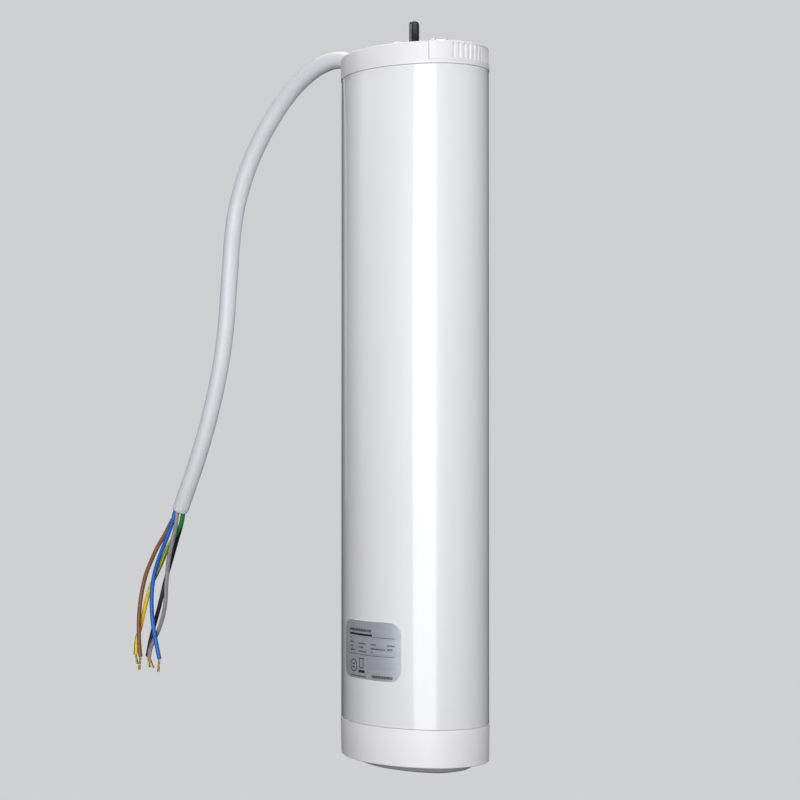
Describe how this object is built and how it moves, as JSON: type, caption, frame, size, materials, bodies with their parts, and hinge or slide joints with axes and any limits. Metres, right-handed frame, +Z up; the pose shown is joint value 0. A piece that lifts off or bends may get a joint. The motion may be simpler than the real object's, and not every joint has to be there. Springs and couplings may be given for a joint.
{
  "type": "track drive motor",
  "caption": "Upright oval tube motor that hangs by its head from a shutter or curtain track, with a ribbed lock ring, steel tongue and stripped cable.",
  "frame": {"origin": "centre of the oval section in the plane of the crown's rim, where the head meets the track's drive box", "axes": "+Z up along the tube, +X towards the ribbed grip, -Y towards the side with the label"},
  "size_m": [0.2183, 0.0557, 0.3098],
  "materials": {
    "white_paint": "high gloss white powder coat",
    "white_plastic": "fine satin moulded plastic",
    "polished_steel": "polished",
    "zinc_steel": "zinc plated",
    "cable_pvc": "soft matte PVC",
    "core_blue": "soft satin PVC",
    "core_brown": "soft satin PVC",
    "core_grey": "soft satin PVC",
    "core_green_yellow": "soft satin PVC, green with a yellow stripe",
    "core_black": "soft satin PVC",
    "copper": "bright stranded copper",
    "silver_label": "satin printed foil",
    "grey_plastic": "satin moulded plastic",
    "black_plastic": "satin moulded plastic",
    "clear_lens": "clear light guide",
    "board_green": "solder mask",
    "relay_blue": "moulded case",
    "rubber": "matte",
    "cast_zinc": "die cast",
    "bronze": "sintered",
    "gear_steel": "machined",
    "gear_nylon": "natural nylon",
    "ferrite": "sintered ferrite",
    "laminations": "varnished laminations",
    "carbon": "carbon"
  },
  "bodies": {
    "housing": {"head_cap": "white_plastic", "ring_keeper": "zinc_steel", "keeper_screw_1": "zinc_steel", "keeper_screw_2": "zinc_steel", "keeper_screw_3": "zinc_steel", "head_screw_1": "zinc_steel", "head_screw_2": "zinc_steel", "strain_relief": "white_plastic", "mains_cable": "cable_pvc", "core_blue": "core_blue", "core_brown": "core_brown", "core_grey": "core_grey", "core_earth": "core_green_yellow", "core_black": "core_black", "strands_blue": "copper", "strands_brown": "copper", "strands_grey": "copper", "strands_earth": "copper", "strands_black": "copper", "tube_housing": "white_paint", "rating_label": "silver_label", "foot_cap": "white_plastic", "foot_screw_1": "zinc_steel", "foot_screw_2": "zinc_steel", "status_lens": "clear_lens", "tact_switch": "black_plastic", "button_board": "board_green", "damping_ring": "rubber", "gearbox_case": "cast_zinc", "spindle_bush": "bronze", "motor_can": "zinc_steel", "magnet_left": "ferrite", "magnet_right": "ferrite", "brush_front": "carbon", "brush_back": "carbon", "end_bell": "black_plastic", "inner_chassis": "grey_plastic", "circuit_board": "board_green", "transformer": "laminations", "relay_up": "relay_blue", "relay_down": "relay_blue", "capacitor": "black_plastic", "terminal_block": "board_green", "wiring_loom": "cable_pvc"},
    "lock": {"lock_ring": "white_plastic", "lock_tongue": "polished_steel"},
    "spindle": {"drive_spindle": "polished_steel", "spindle_circlip": "gear_steel"},
    "second_stage": {"stage_carrier": "gear_steel"},
    "rotor": {"armature": "laminations", "commutator": "copper", "motor_pinion": "bronze", "encoder_wheel": "ferrite"},
    "output_gear_1": {"output_planet_1": "gear_steel"},
    "output_gear_2": {"output_planet_2": "gear_steel"},
    "output_gear_3": {"output_planet_3": "gear_steel"},
    "input_gear_1": {"input_planet_1": "gear_nylon"},
    "input_gear_2": {"input_planet_2": "gear_nylon"},
    "input_gear_3": {"input_planet_3": "gear_nylon"},
    "button": {"set_button": "grey_plastic"}
  },
  "joints": [
    {"name": "lock_turn", "type": "hinge", "parent": "housing", "child": "lock", "pos_m": [0.0155, 0, 0], "axis": [0, 0, 1], "range_deg": [0, 35]},
    {"name": "rotor_spin", "type": "hinge", "parent": "housing", "child": "rotor", "pos_m": [0.0155, 0, 0], "axis": [0, 0, 1], "continuous": true},
    {"name": "spindle_spin", "type": "hinge", "parent": "housing", "child": "spindle", "pos_m": [0.0155, 0, 0], "axis": [0, 0, 1], "continuous": true},
    {"name": "stage_spin", "type": "hinge", "parent": "housing", "child": "second_stage", "pos_m": [0.0155, 0, 0], "axis": [0, 0, 1], "continuous": true},
    {"name": "output_planet_1_spin", "type": "hinge", "parent": "spindle", "child": "output_gear_1", "pos_m": [0.02428, 0, 0], "axis": [0, 0, 1], "continuous": true},
    {"name": "output_planet_2_spin", "type": "hinge", "parent": "spindle", "child": "output_gear_2", "pos_m": [0.01111, 0.0076, 0], "axis": [0, 0, 1], "continuous": true},
    {"name": "output_planet_3_spin", "type": "hinge", "parent": "spindle", "child": "output_gear_3", "pos_m": [0.01111, -0.0076, 0], "axis": [0, 0, 1], "continuous": true},
    {"name": "input_planet_1_spin", "type": "hinge", "parent": "second_stage", "child": "input_gear_1", "pos_m": [0.02428, 0, 0], "axis": [0, 0, 1], "continuous": true},
    {"name": "input_planet_2_spin", "type": "hinge", "parent": "second_stage", "child": "input_gear_2", "pos_m": [0.01111, 0.0076, 0], "axis": [0, 0, 1], "continuous": true},
    {"name": "input_planet_3_spin", "type": "hinge", "parent": "second_stage", "child": "input_gear_3", "pos_m": [0.01111, -0.0076, 0], "axis": [0, 0, 1], "continuous": true},
    {"name": "button_press", "type": "slide", "parent": "housing", "child": "button", "axis": [0, 0, 1], "range_m": [0, 0.001], "stiffness_N_per_m": 300}
  ],
  "couplings": [
    {"joint": "stage_spin", "follows": "rotor_spin", "ratio": 0.22222},
    {"joint": "spindle_spin", "follows": "rotor_spin", "ratio": 0.049383},
    {"joint": "input_planet_1_spin", "follows": "rotor_spin", "ratio": -0.62222},
    {"joint": "input_planet_2_spin", "follows": "rotor_spin", "ratio": -0.62222},
    {"joint": "input_planet_3_spin", "follows": "rotor_spin", "ratio": -0.62222},
    {"joint": "output_planet_1_spin", "follows": "rotor_spin", "ratio": -0.13827},
    {"joint": "output_planet_2_spin", "follows": "rotor_spin", "ratio": -0.13827},
    {"joint": "output_planet_3_spin", "follows": "rotor_spin", "ratio": -0.13827}
  ]
}
